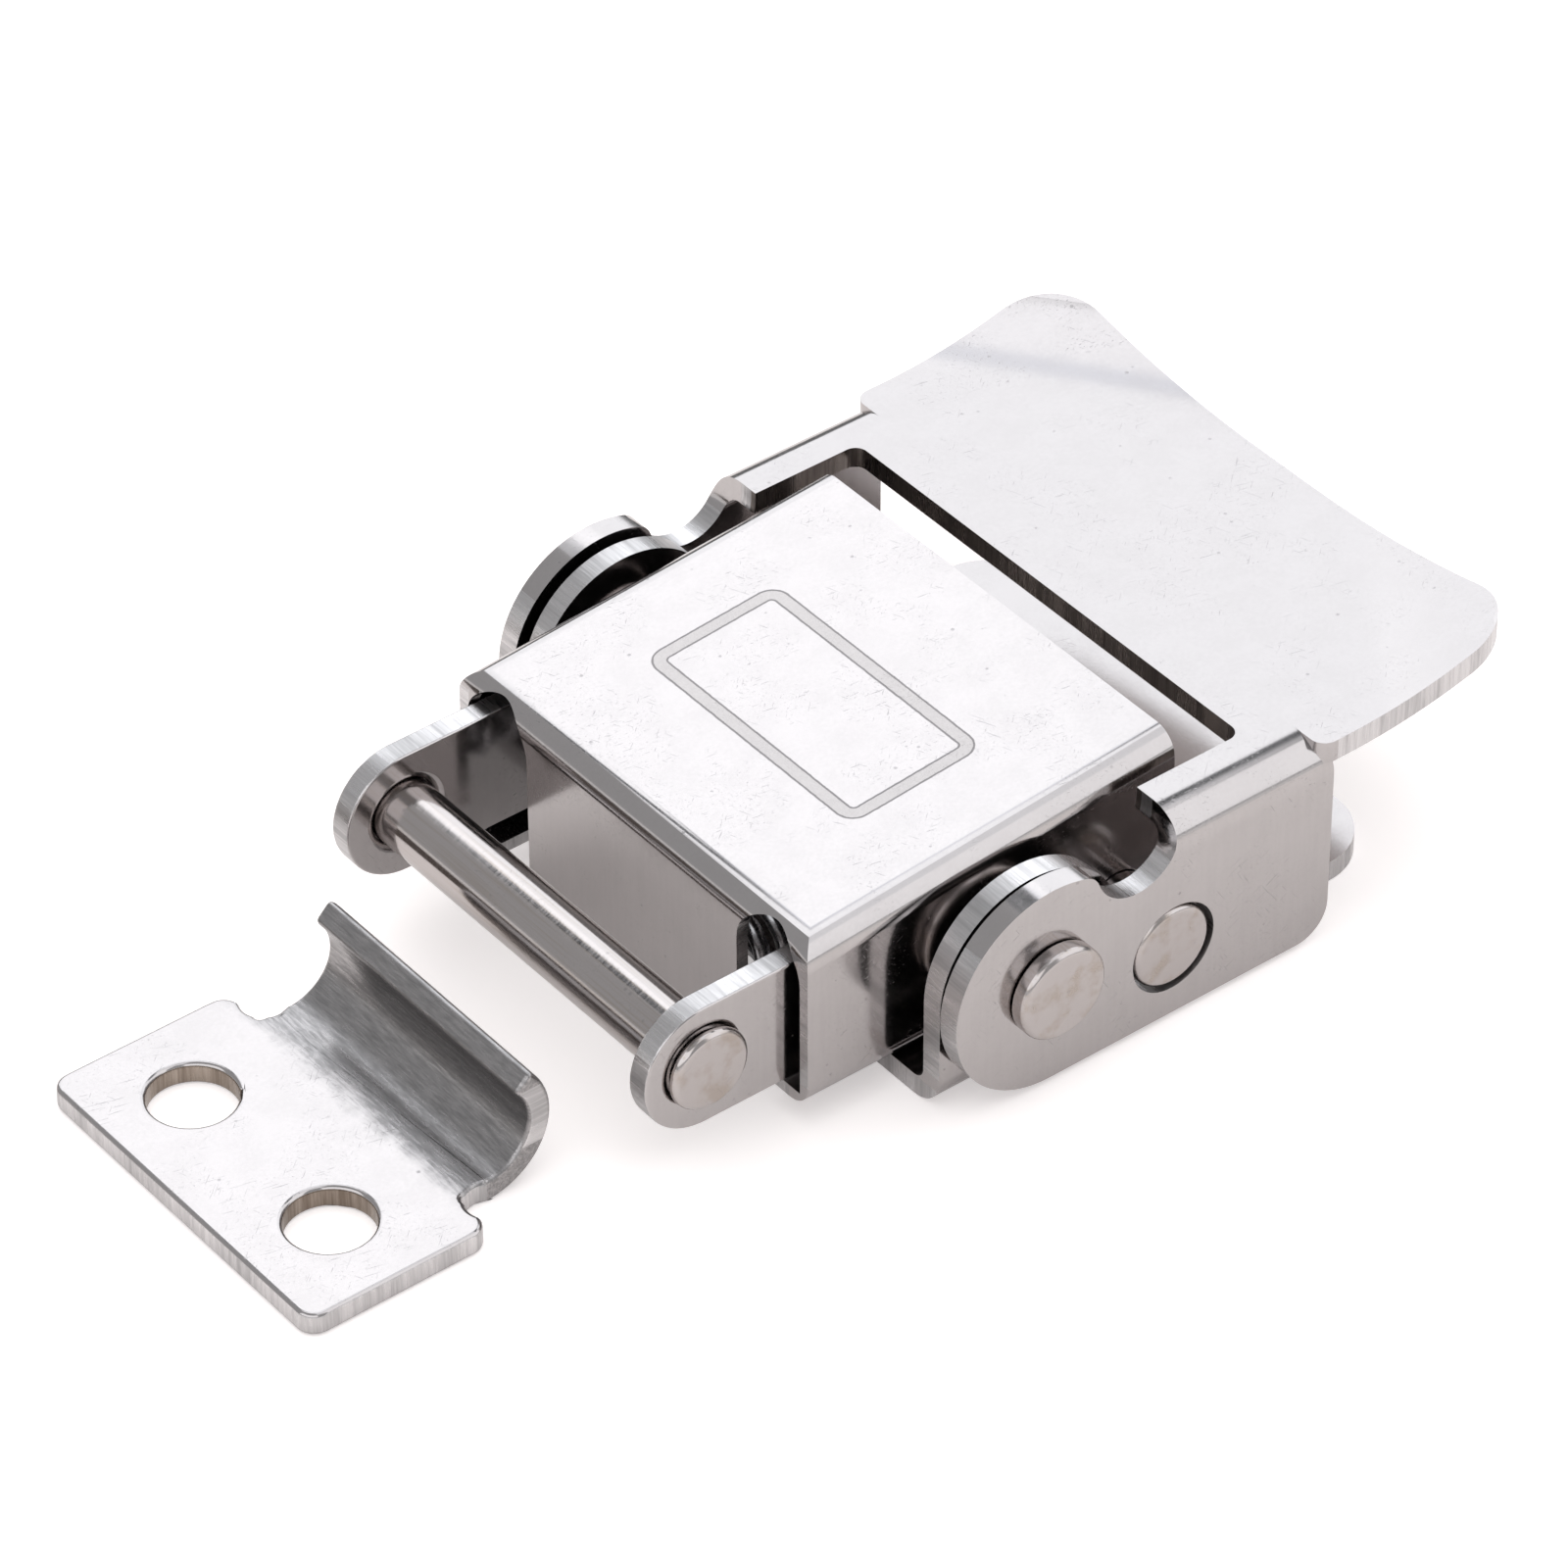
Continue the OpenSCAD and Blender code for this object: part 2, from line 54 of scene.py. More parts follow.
STEEL_DULL = (0.435, 0.410, 0.405, 1)
SCRATCH_GREY = (0.26, 0.25, 0.25, 1)
SHEARED_LIGHT = (0.68, 0.66, 0.66, 1)
SHEARED_DARK = (0.36, 0.35, 0.35, 1)
# Painted shade: dark brown colours for the cut rim of the lever's window, standing in for the shade inside
# the window
WINDOW_RIM_SHADE_LIGHT = (0.26, 0.23, 0.21, 1)
WINDOW_RIM_SHADE_DARK = (0.13, 0.11, 0.10, 1)
# Streaked colours of press-tool wear, dark enough to be painted shade as well in the hollow of the keeper's
# curl
WORN_AND_SHADED_LIGHT = (0.38, 0.365, 0.365, 1)
WORN_AND_SHADED_DARK = (0.20, 0.195, 0.195, 1)
# Painted shade: dark brown colours for the punched walls of the holes in the base plate and keeper, standing
# in for the shade inside the holes
HOLE_SHADE_LIGHT = (0.42, 0.36, 0.31, 1)
HOLE_SHADE_DARK = (0.17, 0.13, 0.10, 1)
BAND_LIGHT = (0.47, 0.44, 0.43, 1)
BAND_DARK = (0.36, 0.335, 0.325, 1)
BAND_LINE = (0.15, 0.14, 0.14, 1)
PIN_STEEL = (0.475, 0.440, 0.430, 1)
PIN_WARM = (0.40, 0.345, 0.30, 1)
WIRE_STEEL = (0.42, 0.42, 0.43, 1)
WIRE_DARK = (0.27, 0.27, 0.28, 1)
FLOOR_WHITE = (0.80, 0.775, 0.77, 1)

# The pins' centres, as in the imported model's source
PIVOT = Vector((-9.0, 0, 7.2)) * MM
TOGGLE = Vector((-0.15, 0, 5.2)) * MM
BAR = Vector((-28.2, 0, 7.4)) * MM

# The photograph's camera, fitted to the latch's own edges
AZIMUTH, ELEVATION, ROLL = -38.172, 39.374, -0.171
DISTANCE = 458.731 * MM
AIM_RIGHT, AIM_UP = -1.821 * MM, 5.545 * MM
AIM_FROM = Vector((-9.0, 0, 0.9)) * MM
FOCAL_PIXELS, FRAME_PIXELS, SENSOR = 8192.16, 1600, 36.0
NEAREST, FARTHEST = 0.01, 20

# How a solid's mesh is joined and its edges are broken; lengths in millimetres
SAME_POINT = 0.0005
FLAT_ANGLE = math.radians(0.1)
SHARP_ANGLE = math.radians(30)
SHEET_STEPS, PIN_STEPS = 3, 2
PIN_BREAK = 0.12

# The largest part of a sheet's direction that the normal of its cut edge may have
SQUARE_TO_SHEET = 0.45


class Wiring:
    """Adds nodes to one node tree.

    Every value may be a number, a colour, a vector or another node's socket. Scales of noise are per metre.
    """

    def __init__(self, tree):
        self.tree = tree

    def node(self, kind, inputs=None, **settings):
        made = self.tree.nodes.new(kind)
        for name, value in settings.items():
            setattr(made, name, value)
        for key, value in (inputs or {}).items():
            self.put(made.inputs[key], value)
        return made

    def put(self, socket, value):
        if isinstance(value, bpy.types.NodeSocket):
            self.tree.links.new(value, socket)
        else:
            socket.default_value = value

    def math(self, operation, *values):
        made = self.node("ShaderNodeMath", operation=operation)
        for socket, value in zip(made.inputs, values):
            self.put(socket, value)
        return made.outputs[0]

    def vector(self, operation, *values):
        made = self.node("ShaderNodeVectorMath", operation=operation)
        for socket, value in zip(made.inputs, values):
            self.put(socket, value)
        return made.outputs[0]

    def split(self, vector):
        return self.node("ShaderNodeSeparateXYZ", {0: vector}).outputs

    def noise(self, vector, scale, detail=2.0, roughness=0.5):
        made = self.node("ShaderNodeTexNoise", {"Vector": vector, "Scale": scale, "Detail": detail,
                                                "Roughness": roughness})
        return made.outputs["Fac"]

    def between(self, value, low, high, to_low=0.0, to_high=1.0):
        made = self.node("ShaderNodeMapRange", {"Value": value, "From Min": low, "From Max": high,
                                                "To Min": to_low, "To Max": to_high},
                         interpolation_type="SMOOTHSTEP", clamp=True)
        return made.outputs["Result"]

    def blend(self, factor, first, second):
        made = self.node("ShaderNodeMix", data_type="RGBA")
        self.put(made.inputs["Factor"], factor)
        self.put(made.inputs[6], first)
        self.put(made.inputs[7], second)
        return made.outputs[2]

    def turned(self, vector, turn=(0, 0, 0), scale=(1, 1, 1)):
        made = self.node("ShaderNodeMapping", {"Vector": vector, "Rotation": turn, "Scale": scale})
        return made.outputs["Vector"]


def effect(name, inputs, outputs):
    """A shader node group with named sockets.

    Returns its wiring, its inputs and a function that sets an output.
    """
    tree = bpy.data.node_groups.new(name, "ShaderNodeTree")
    for label, kind, default in inputs:
        socket = tree.interface.new_socket(label, in_out="INPUT", socket_type=kind)
        if default is not None:
            socket.default_value = default
    for label, kind in outputs:
        tree.interface.new_socket(label, in_out="OUTPUT", socket_type=kind)
    wiring = Wiring(tree)
    entry = wiring.node("NodeGroupInput")
    leave = wiring.node("NodeGroupOutput")
    return wiring, entry.outputs, lambda label, value: wiring.put(leave.inputs[label], value)


def use(wiring, name, values):
    """One use of an effect in a material's tree."""
    made = wiring.node("ShaderNodeGroup", node_tree=bpy.data.node_groups[name])
    for label, value in values.items():
        wiring.put(made.inputs[label], value)
    return made.outputs


def make_tumble_marks():
    """Cloudy mottling, short crossing hairlines and tiny pits of tumbled sheet, and a faint upright grain."""
    w, given, give = effect(
        "tumble_marks",
        [("Vector", "NodeSocketVector", None), ("Scratches", "NodeSocketFloat", 1.0)],
        [("Mottle", "NodeSocketFloat"), ("Scratch", "NodeSocketFloat"), ("Height", "NodeSocketFloat"),
         ("Grain", "NodeSocketFloat")])
    place = given["Vector"]
    clouds = w.noise(place, 420, 3, 0.55)
    speckle = w.noise(place, 4200, 2, 0.55)
    mottle = w.math("ADD", w.math("MULTIPLY", clouds, 0.6), w.math("MULTIPLY", speckle, 0.4))
    grain = w.noise(w.turned(place, scale=(2600, 2600, 170)), 1.0, 2, 0.6)
    patches = w.noise(place, 260, 1, 0.5)
    scratch = 0.0
    for turn, along, across, rare in (((0, 0, 0.25), 620, 11000, 0.715), ((0, 0, -0.7), 900, 13000, 0.72),
                                      ((0, 0, 1.2), 760, 12000, 0.725), ((0, 0.5, 0), 800, 12500, 0.715),
                                      ((0, -1.0, 0), 700, 11500, 0.72)):
        lines = w.noise(w.turned(w.turned(place, turn=turn), scale=(along, across, across)), 1.0, 1, 0.4)
        scratch = w.math("MAXIMUM", scratch, w.between(lines, rare, rare + 0.04))
    scratch = w.math("MULTIPLY", scratch, w.between(patches, 0.46, 0.60))
    pits = w.node("ShaderNodeTexVoronoi", {"Vector": place, "Scale": 1100.0, "Randomness": 1.0})
    few = w.between(w.noise(place, 800, 0, 0.5), 0.64, 0.69)
    pit = w.math("MULTIPLY", w.between(pits.outputs["Distance"], 0.16, 0.08), few)
    marks = w.math("MULTIPLY", w.math("MAXIMUM", scratch, pit), given["Scratches"])
    give("Mottle", mottle)
    give("Scratch", marks)
    give("Grain", grain)
    give("Height", w.math("SUBTRACT", w.math("MULTIPLY", mottle, 0.3), marks))


def make_sheared_edge():
    """Streaks through the thickness of cut sheet, some burnished and some torn."""
    w, given, give = effect(
        "sheared_edge",
        [("Vector", "NodeSocketVector", None)],
        [("Streak", "NodeSocketFloat"), ("Height", "NodeSocketFloat")])
    broad = w.noise(given["Vector"], 420, 2, 0.6)
    wide = w.noise(given["Vector"], 2300, 2, 0.6)
    fine = w.noise(given["Vector"], 7500, 2, 0.6)
    streak = w.math("ADD", w.math("MULTIPLY", broad, 0.45), w.math("MULTIPLY", wide, 0.3))
    streak = w.math("ADD", streak, w.math("MULTIPLY", fine, 0.25))
    give("Streak", w.between(streak, 0.30, 0.68))
    give("Height", streak)


def make_turned_face():
    """Fine rings round an axis along Y, lengthwise draw lines, and the soft blotches of a hammered end."""
    w, given, give = effect(
        "turned_face",
        [("Vector", "NodeSocketVector", None), ("Centre", "NodeSocketVector", (0, 0, 0))],
        [("Rings", "NodeSocketFloat"), ("Blotch", "NodeSocketFloat"), ("Drawn", "NodeSocketFloat")])
    arm = w.split(w.vector("SUBTRACT", given["Vector"], given["Centre"]))
    radius = w.math("SQRT", w.math("ADD", w.math("MULTIPLY", arm["X"], arm["X"]),
                                   w.math("MULTIPLY", arm["Z"], arm["Z"])))
    level = w.node("ShaderNodeCombineXYZ", {0: radius, 1: w.math("MULTIPLY", arm["Y"], 0.9)}).outputs[0]
    give("Rings", w.noise(level, 7000, 2, 0.6))
    give("Blotch", w.noise(given["Vector"], 620, 3, 0.55))
    give("Drawn", w.noise(w.turned(given["Vector"], scale=(5200, 110, 5200)), 1.0, 2, 0.6))


def make_etched_band():
    """A closed band along a rounded rectangle, measured by the distance to its outline in X and Y."""
    w, given, give = effect(
        "etched_band",
        [("Vector", "NodeSocketVector", None)],
        [("Line", "NodeSocketFloat"), ("Inside", "NodeSocketFloat")])
    centre, half, corner, band, line = (-9.28, 0.0), (4.72, 9.35), 1.2, 0.85, 0.085
    waviness, blur, top_from, top_to = 0.07, 0.02, 12.6, 12.8
    at = w.split(given["Vector"])
    reach = []
    for axis, middle, side in (("X", centre[0], half[0]), ("Y", centre[1], half[1])):
        away = w.math("ABSOLUTE", w.math("SUBTRACT", at[axis], middle * MM))
        reach.append(w.math("SUBTRACT", away, (side - corner) * MM))
    outer = w.math("SQRT", w.math("ADD", w.math("POWER", w.math("MAXIMUM", reach[0], 0.0), 2.0),
                                  w.math("POWER", w.math("MAXIMUM", reach[1], 0.0), 2.0)))
    inner = w.math("MINIMUM", w.math("MAXIMUM", reach[0], reach[1]), 0.0)
    far = w.math("SUBTRACT", w.math("ADD", outer, inner), corner * MM)
    wave = w.math("SUBTRACT", w.noise(given["Vector"], 2500, 2, 0.6), 0.5)
    rough = w.math("MULTIPLY", wave, waviness * MM)
    far = w.math("ADD", far, rough)
    lines = 0.0
    for offset in (0.0, -band):
        gap = w.math("ABSOLUTE", w.math("SUBTRACT", far, offset * MM))
        lines = w.math("MAXIMUM", lines, w.between(gap, line * MM, 0.4 * line * MM))
    top = w.between(at["Z"], top_from * MM, top_to * MM)
    inside = w.math("MULTIPLY", w.between(far, blur * MM, -blur * MM),
                    w.between(far, (-band - blur) * MM, (-band + blur) * MM))
    give("Line", w.math("MULTIPLY", lines, top))
    give("Inside", w.math("MULTIPLY", inside, top))


make_tumble_marks()
make_sheared_edge()
make_turned_face()
make_etched_band()


def empty_material(name):
    material = bpy.data.materials.new(name)
    material.use_nodes = True
    material.node_tree.nodes.clear()
    return material, Wiring(material.node_tree)


def metal_material(name):
    """A material, its wiring, its coordinates and its metallic shader."""
    material, w = empty_material(name)
    place = w.node("ShaderNodeTexCoord")
    shader = w.node("ShaderNodeBsdfPrincipled", {"Metallic": 1.0})
    out = w.node("ShaderNodeOutputMaterial")
    w.tree.links.new(shader.outputs[0], out.inputs["Surface"])
    return material, w, place.outputs, shader


def inside_box(w, at, low, high):
    """1 inside a box given in millimetres; None leaves a side open."""
    found = 1.0
    for axis, a, b in zip("XYZ", low, high):
        for limit, operation in ((a, "GREATER_THAN"), (b, "LESS_THAN")):
            if limit is not None:
                found = w.math("MULTIPLY", found, w.math(operation, at[axis], limit * MM))
    return found


def add_band(w, at, face, rough, height):
    """Etches the band into a sheet's colour, roughness and height."""
    etched = use(w, "etched_band", {"Vector": at})
    grit = w.noise(at, 7000, 2, 0.7)
    face = w.blend(w.math("MULTIPLY", etched["Inside"], 0.8), face, w.blend(grit, BAND_LIGHT, BAND_DARK))
    face = w.blend(w.math("MULTIPLY", etched["Line"], 0.9), face, BAND_LINE)
    rough = w.math("ADD", rough, w.math("MULTIPLY", etched["Inside"], 0.12))
    height = w.math("SUBTRACT", height, w.math("MULTIPLY", etched["Line"], 2.0))
    height = w.math("SUBTRACT", height, w.math("MULTIPLY", etched["Inside"], 0.8))
    return face, rough, height


def add_wear_and_shade(w, at, start, face, rough, height):
    """Dulls a sheet's colour, roughness and height from an X on, with streaks along Y and a ragged border;
    the darker colour is press-tool wear and also painted shade in the hollow of the keeper's curl.
    """
    wave = w.math("SUBTRACT", w.noise(at, 480, 3, 0.6), 0.5)
    ragged = w.math("ADD", w.split(at)["X"], w.math("MULTIPLY", wave, 2.6 * MM))
    formed = w.between(ragged, (start - 1.0) * MM, (start + 0.9) * MM)
    drag = w.noise(w.turned(at, scale=(6200, 700, 6200)), 1.0, 3, 0.65)
    streaked = w.blend(w.between(drag, 0.3, 0.7), WORN_AND_SHADED_DARK, WORN_AND_SHADED_LIGHT)
    face = w.blend(w.math("MULTIPLY", formed, 0.85), face, streaked)
    rough = w.math("ADD", rough, w.math("MULTIPLY", formed, w.between(drag, 0.3, 0.7, 0.22, 0.12)))
    height = w.math("ADD", height, w.math("MULTIPLY", w.math("MULTIPLY", drag, formed), 4.0))
    return face, rough, height


def sheet_material(name, folds, holes=None, worn=None, band=False):
    """Tumbled stainless sheet whose cut edges are sheared.

    folds lists (normal axis, low corner, high corner) for each flat part of the sheet, in millimetres and
    with Y taken as its distance from the centre line. A face in the box that stands square to the sheet is a
    cut edge. holes is a box in which the cut edges are punched walls, then their dark and light colour; these
    colours are painted shade, darker and browner than the other cut edges, for the shade inside the holes.
    worn is the X where a tightly formed part starts, which the press tool has left dull and streaked along Y,
    in colours dark enough to be painted shade for the hollow of the curl as well.
    """
    material, w, place, shader = metal_material(name)
    at = place["Object"]
    marks = use(w, "tumble_marks", {"Vector": at, "Scratches": 1.0})
    apart = w.split(at)
    mirrored = {"X": apart["X"], "Y": w.math("ABSOLUTE", apart["Y"]), "Z": apart["Z"]}
    facing = w.split(place["Normal"])
    cut, streak, rough = 0.0, 0.0, 0.0
    for axis in sorted({fold[0] for fold in folds}):
        squeeze = [0.05 if axis == letter else 1.0 for letter in "XYZ"]
        edge = use(w, "sheared_edge", {"Vector": w.turned(at, scale=squeeze)})
        square = w.math("LESS_THAN", w.math("ABSOLUTE", facing[axis]), SQUARE_TO_SHEET)
        here = 0.0
        for _, low, high in [fold for fold in folds if fold[0] == axis]:
            here = w.math("MAXIMUM", here, inside_box(w, mirrored, low, high))
        here = w.math("MULTIPLY", here, square)
        cut = w.math("MAXIMUM", cut, here)
        streak = w.math("ADD", streak, w.math("MULTIPLY", edge["Streak"], here))
        rough = w.math("ADD", rough, w.math("MULTIPLY", edge["Height"], here))
    upright = w.between(w.math("ABSOLUTE", facing["Z"]), 0.7, 0.3)
    dull = w.math("ADD", w.between(marks["Mottle"], 0.35, 0.65, 0.0, 0.35),
                  w.math("MULTIPLY", w.between(marks["Grain"], 0.35, 0.65, 0.0, 0.25), upright))
    face = w.blend(dull, STEEL, STEEL_DULL)
    face = w.blend(w.math("MULTIPLY", marks["Scratch"], 0.45), face, SCRATCH_GREY)
    smooth = w.math("ADD", w.between(marks["Mottle"], 0.3, 0.7, 0.12, 0.16),
                    w.math("MULTIPLY", marks["Scratch"], 0.15))
    height = w.math("ADD", marks["Height"],
                    w.math("MULTIPLY", w.math("MULTIPLY", marks["Grain"], 0.25), upright))
    if band:
        face, smooth, height = add_band(w, at, face, smooth, height)
    if worn:
        face, smooth, height = add_wear_and_shade(w, at, worn, face, smooth, height)
    torn = w.blend(streak, SHEARED_DARK, SHEARED_LIGHT)
    # Inside the holes box the cut edges keep their streaks but take darker, browner colours: painted shade
    if holes:
        low, high, dark, light = holes
        torn = w.blend(inside_box(w, mirrored, low, high), torn, w.blend(streak, dark, light))
    w.put(shader.inputs["Base Color"], w.blend(cut, face, torn))
    sheared_rough = w.between(streak, 0.0, 1.0, 0.40, 0.22)
    w.put(shader.inputs["Roughness"],
          w.math("ADD", w.math("MULTIPLY", smooth, w.math("SUBTRACT", 1.0, cut)),
                 w.math("MULTIPLY", sheared_rough, cut)))
    flat = w.node("ShaderNodeBump", {"Strength": 0.10, "Distance": 0.02 * MM, "Height": height})
    deep = w.node("ShaderNodeBump", {"Strength": 0.4, "Distance": 0.10 * MM, "Height": rough,
                                     "Normal": flat.outputs[0]})
    w.put(shader.inputs["Normal"], deep.outputs[0])
    return material


def pin_material(name, centre, polished):
    """Turned steel; a polished pin shows its draw lines, the others the blotches of their upset ends."""
    material, w, place, shader = metal_material(name)
    at = place["Object"]
    turned = use(w, "turned_face", {"Vector": at, "Centre": tuple(centre)})
    marks = use(w, "tumble_marks", {"Vector": at, "Scratches": 0.8})
    end_on = w.between(w.math("ABSOLUTE", w.split(place["Normal"])["Y"]), 0.5, 0.8)
    warm = w.math("MULTIPLY", w.between(turned["Blotch"], 0.46, 0.70), w.math("MULTIPLY", end_on, 0.75))
    drawn = w.math("MULTIPLY", w.between(turned["Drawn"], 0.42, 0.72), w.math("SUBTRACT", 1.0, end_on))
    tone = w.blend(warm, PIN_STEEL, PIN_WARM)
    tone = w.blend(w.math("MULTIPLY", drawn, 0.5), tone, PIN_WARM)
    tone = w.blend(w.math("MULTIPLY", marks["Scratch"], 0.4), tone, SCRATCH_GREY)
    w.put(shader.inputs["Base Color"], tone)
    smoothest = 0.10 if polished else 0.15
    ringed = w.between(turned["Rings"], 0.3, 0.7, smoothest, smoothest + 0.06)
    w.put(shader.inputs["Roughness"], w.math("ADD", ringed, w.math("MULTIPLY", warm, 0.15)))
    height = w.math("ADD", w.math("MULTIPLY", turned["Rings"], 0.5),
                    w.math("ADD", w.math("MULTIPLY", turned["Drawn"], 0.6),
                           w.math("MULTIPLY", turned["Blotch"], 0.8)))
    bump = w.node("ShaderNodeBump", {"Strength": 0.12, "Distance": 0.02 * MM, "Height": height})
    w.put(shader.inputs["Normal"], bump.outputs[0])
    return material


def wire_material():
    material, w, place, shader = metal_material("drawn_wire")
    at = place["Object"]
    grain = w.noise(at, 3000, 2, 0.6)
    w.put(shader.inputs["Base Color"], w.blend(grain, WIRE_STEEL, WIRE_DARK))
    w.put(shader.inputs["Roughness"], w.between(grain, 0.3, 0.7, 0.20, 0.32))
    bump = w.node("ShaderNodeBump", {"Strength": 0.2, "Distance": 0.01 * MM, "Height": grain})
    w.put(shader.inputs["Normal"], bump.outputs[0])
    return material


def shade_smooth_group():
    """Geometry nodes that shade every face smooth."""
    tree = bpy.data.node_groups.new("shade_smooth", "GeometryNodeTree")
    tree.interface.new_socket("Geometry", in_out="INPUT", socket_type="NodeSocketGeometry")
    tree.interface.new_socket("Geometry", in_out="OUTPUT", socket_type="NodeSocketGeometry")
    w = Wiring(tree)
    entry = w.node("NodeGroupInput")
    smooth = w.node("GeometryNodeSetShadeSmooth", {"Geometry": entry.outputs[0]})
    w.node("NodeGroupOutput", {0: smooth.outputs[0]})
    return tree


SHADE_SMOOTH = shade_smooth_group()


def break_edges(obj, width=0.0, segments=PIN_STEPS, clamp=True):
    """Joins a solid's loose triangles, breaks its sharp edges by so many millimetres and shades it smooth.

    With no width the edges stay whole. clamp narrows the break to what the piece's shortest edges leave
    room for.
    """
    weld = obj.modifiers.new("joined", "WELD")
    weld.merge_threshold = SAME_POINT * MM
    plain = obj.modifiers.new("whole_faces", "DECIMATE")
    plain.decimate_type = "DISSOLVE"
    plain.angle_limit = FLAT_ANGLE
    smooth = obj.modifiers.new("smooth", "NODES")
    smooth.node_group = SHADE_SMOOTH
    if width:
        bevel = obj.modifiers.new("broken_edge", "BEVEL")
        bevel.width = width * MM
        bevel.segments = segments
        bevel.limit_method = "ANGLE"
        bevel.angle_limit = SHARP_ANGLE
        bevel.use_clamp_overlap = clamp
        bevel.miter_outer = "MITER_ARC"
    normals = obj.modifiers.new("flat_faces", "WEIGHTED_NORMAL")
    normals.mode = "FACE_AREA_WITH_ANGLE"
    normals.weight = 50
    normals.keep_sharp = True


def make_coil(node):
    """A spring's stand-in of the same mesh, carried with the housing."""
    coil = bpy.data.objects.new(node + "_coil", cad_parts[node].data.copy())
    bpy.context.scene.collection.objects.link(coil)
    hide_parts(node)
    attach(coil, "housing")
    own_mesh(coil)
    return coil


# What sheet_material takes as folds, holes and worn
FOLDS = {
    "base_plate": [
        ("Z", (None, None, None), (None, None, 1.35)),
        ("Y", (None, 17.5, 2.3), (None, None, None)),
    ],
    "lever": [
        ("Z", (-9.0, None, 12.85), (None, 18.4, None)),
        ("Z", (11.6, None, 12.7), (None, None, None)),
        ("Y", (None, 19.3, None), (11.5, None, 11.7)),
    ],
    "draw_housing": [
        ("Z", (None, None, 12.3), (None, 14.2, None)),
        ("Y", (None, 15.0, 3.3), (None, None, 12.0)),
        ("Z", (None, None, None), (None, 14.2, 2.52)),
        ("X", (-22.3, None, 3.4), (-21.3, 9.8, 11.5)),
    ],
    "draw_frame": [
        ("Y", (None, 12.9, None), (-5.5, None, None)),
        ("X", (-5.4, None, None), (None, 12.0, None)),
    ],
    "keeper": [
        ("Z", (None, None, None), (-39.4, None, 1.45)),
        ("X", (-38.0, None, 2.6), (None, None, 6.6)),
    ],
}
# Boxes whose cut edges get darker, browner colours: painted shade inside the base plate's and keeper's holes
# and inside the lever's window
SHADED_HOLES = {
    "base_plate": ((-14.0, None, None), (14.0, 10.0, 1.5), HOLE_SHADE_DARK, HOLE_SHADE_LIGHT),
    "keeper": ((-51.0, 2.5, None), (-44.0, 10.0, 1.6), HOLE_SHADE_DARK, HOLE_SHADE_LIGHT),
    "lever": ((-2.0, None, 12.7), (9.0, 17.5, None), WINDOW_RIM_SHADE_DARK, WINDOW_RIM_SHADE_LIGHT),
}
# Where the keeper's curl starts: press-tool wear, painted darker as painted shade in the hollow of the curl
WORN_AND_SHADED = {"keeper": -41.2}

# Widths of the broken edges in millimetres; where folds meet closely, short edges narrow them to a hairline
BROKEN_EDGE = {"base_plate": 0.12, "lever": 0.12, "draw_housing": 0.08, "draw_frame": 0.15, "keeper": 0.3}
CLOSE_FOLDS = ("base_plate", "lever", "draw_housing")
PIN_CENTRES = {"pivot_rivet_near": PIVOT, "pivot_rivet_far": PIVOT, "toggle_pin": TOGGLE, "draw_bar": BAR}

for node, folds in FOLDS.items():
    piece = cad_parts[node]
    piece.material_slots[0].material = sheet_material(node + "_sheet", folds, SHADED_HOLES.get(node), WORN_AND_SHADED.get(node),
                                                      node == "draw_housing")
    break_edges(piece, BROKEN_EDGE[node], SHEET_STEPS, node in CLOSE_FOLDS)
for node, centre in PIN_CENTRES.items():
    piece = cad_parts[node]
    piece.material_slots[0].material = pin_material(node + "_finish", centre, node == "draw_bar")
    break_edges(piece, PIN_BREAK)
wire = wire_material()
for node in ("spring_near", "spring_far"):
    piece = make_coil(node)
    piece.material_slots[0].material = wire
    break_edges(piece)


def seen_directly(w):
    """1 for a ray that the camera, a gloss or a clear surface sends, else 0."""
    path = w.node("ShaderNodeLightPath").outputs
    seen = w.math("MAXIMUM", path["Is Camera Ray"], path["Is Glossy Ray"])
    return w.math("MAXIMUM", seen, path["Is Transmission Ray"])


def make_floor():
    """A pale sheet just under the latch that glows a little, and more to the camera."""
    side, drop = 3.0, 0.03 * MM
    glow_seen, glow_to_camera = 0.20, 0.25
    mesh = bpy.data.meshes.new("floor")
    corners = [(-side, -side), (side, -side), (side, side), (-side, side)]
    mesh.from_pydata([(x, y, -drop) for x, y in corners], [], [(0, 1, 2, 3)])
    floor = bpy.data.objects.new("floor", mesh)
    bpy.context.scene.collection.objects.link(floor)
    material, w = empty_material("pale_floor")
    card = w.node("ShaderNodeBsdfDiffuse", {"Color": FLOOR_WHITE})
    camera_ray = w.node("ShaderNodeLightPath").outputs["Is Camera Ray"]
    level = w.math("ADD", w.math("MULTIPLY", seen_directly(w), glow_seen),
                   w.math("MULTIPLY", camera_ray, glow_to_camera))
    glow = w.node("ShaderNodeEmission", {"Color": (1, 0.965, 0.965, 1), "Strength": level})
    both = w.node("ShaderNodeAddShader", {0: card.outputs[0], 1: glow.outputs[0]})
    w.node("ShaderNodeOutputMaterial", {"Surface": both.outputs[0]})
    mesh.materials.append(material)


def make_world():
    """A white room that gives less light than it shows."""
    light, shown = 0.35, 1.0
    world = bpy.data.worlds.new("studio")
    bpy.context.scene.world = world
    world.use_nodes = True
    world.node_tree.nodes.clear()
    w = Wiring(world.node_tree)
    room = w.node("ShaderNodeBackground", {"Color": (1, 0.98, 0.97, 1), "Strength": light})
    white = w.node("ShaderNodeBackground", {"Color": (1, 1, 1, 1), "Strength": shown})
    mix = w.node("ShaderNodeMixShader", {0: seen_directly(w), 1: room.outputs[0], 2: white.outputs[0]})
    w.node("ShaderNodeOutputWorld", {"Surface": mix.outputs[0]})


